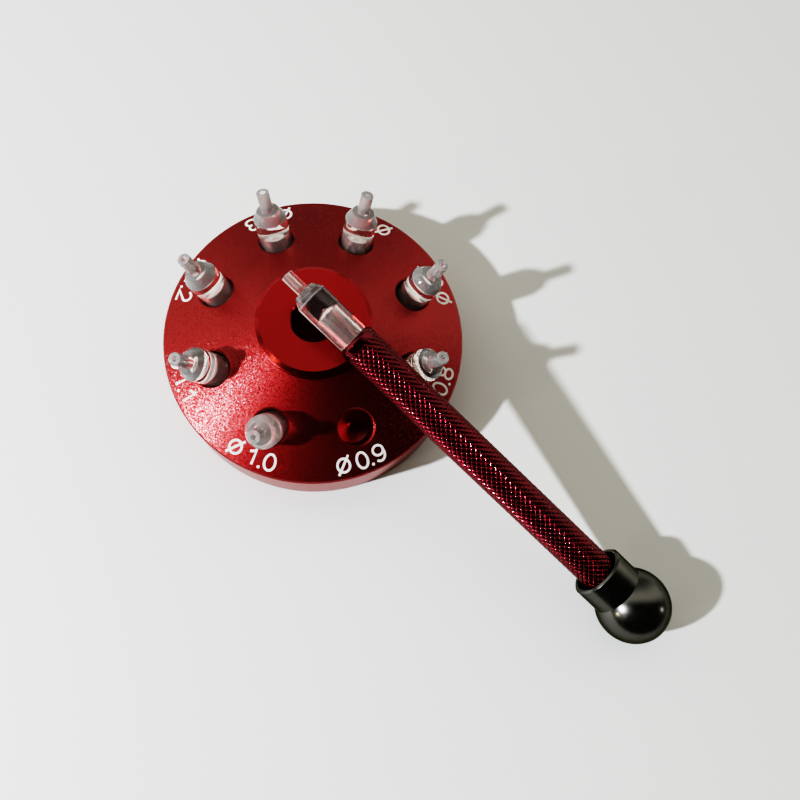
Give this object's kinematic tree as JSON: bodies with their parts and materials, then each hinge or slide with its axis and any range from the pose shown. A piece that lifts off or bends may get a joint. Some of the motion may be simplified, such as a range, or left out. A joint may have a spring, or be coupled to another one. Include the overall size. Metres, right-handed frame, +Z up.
{
  "type": "watch hand press set",
  "caption": "Round red anodised stand with inclined pockets of clear press tips and a knurled ball-ended handle lying across it, for fitting watch hands.",
  "frame": {"origin": "centre of the stand's flat underside, on the table", "axes": "+Z up along the stand's central bore; the empty pocket lies towards -Y, turned 22.5 degrees to +X"},
  "size_m": [0.1093, 0.0997, 0.0331],
  "materials": {
    "red_anodised": "bead-blasted, red anodised",
    "clear_acrylic": "clear, turned and polished",
    "crimson_knurled": "diamond knurled, dark crimson anodised",
    "black_chrome": "polished dark nickel plate",
    "steel": "turned steel"
  },
  "bodies": {
    "stand": {"stand": "red_anodised"},
    "tip_06": {"tip_06": "clear_acrylic"},
    "tip_07": {"tip_07": "clear_acrylic"},
    "tip_08": {"tip_08": "clear_acrylic"},
    "tip_10": {"tip_10": "clear_acrylic"},
    "tip_11": {"tip_11": "clear_acrylic"},
    "tip_12": {"tip_12": "clear_acrylic"},
    "tip_13": {"tip_13": "clear_acrylic"},
    "handle": {"handle": "crimson_knurled"},
    "tip_09": {"tip_09": "clear_acrylic"},
    "knob": {"ball_knob": "black_chrome", "knob_stud": "steel"}
  },
  "joints": [
    {"name": "tip_06_lift", "type": "slide", "parent": "stand", "child": "tip_06", "axis": [0.1603, 0.3554, 0.9208], "range_m": [0, 0.03]},
    {"name": "tip_07_lift", "type": "slide", "parent": "stand", "child": "tip_07", "axis": [0.3826, 0.1262, 0.9153], "range_m": [0, 0.03]},
    {"name": "tip_08_lift", "type": "slide", "parent": "stand", "child": "tip_08", "axis": [0.3471, -0.0866, 0.9338], "range_m": [0, 0.03]},
    {"name": "tip_10_lift", "type": "slide", "parent": "stand", "child": "tip_10", "axis": [-0.1464, -0.3536, 0.9239], "range_m": [0, 0.03]},
    {"name": "tip_11_lift", "type": "slide", "parent": "stand", "child": "tip_11", "axis": [-0.3818, -0.1337, 0.9145], "range_m": [0, 0.03]},
    {"name": "tip_12_lift", "type": "slide", "parent": "stand", "child": "tip_12", "axis": [-0.3503, 0.1211, 0.9288], "range_m": [0, 0.03]},
    {"name": "tip_13_lift", "type": "slide", "parent": "stand", "child": "tip_13", "axis": [-0.1515, 0.3419, 0.9274], "range_m": [0, 0.03]},
    {"name": "handle_lift", "type": "slide", "parent": "stand", "child": "handle", "axis": [0.5312, -0.4667, 0.7071], "range_m": [0, 0.12]},
    {"name": "tip_09_pull", "type": "slide", "parent": "handle", "child": "tip_09", "axis": [-0.731, 0.6422, 0.2306], "range_m": [0, 0.02]},
    {"name": "knob_turn", "type": "hinge", "parent": "handle", "child": "knob", "pos_m": [0.06835, -0.05872, 0.008], "axis": [-0.731, 0.6422, 0.2306], "continuous": true}
  ]
}
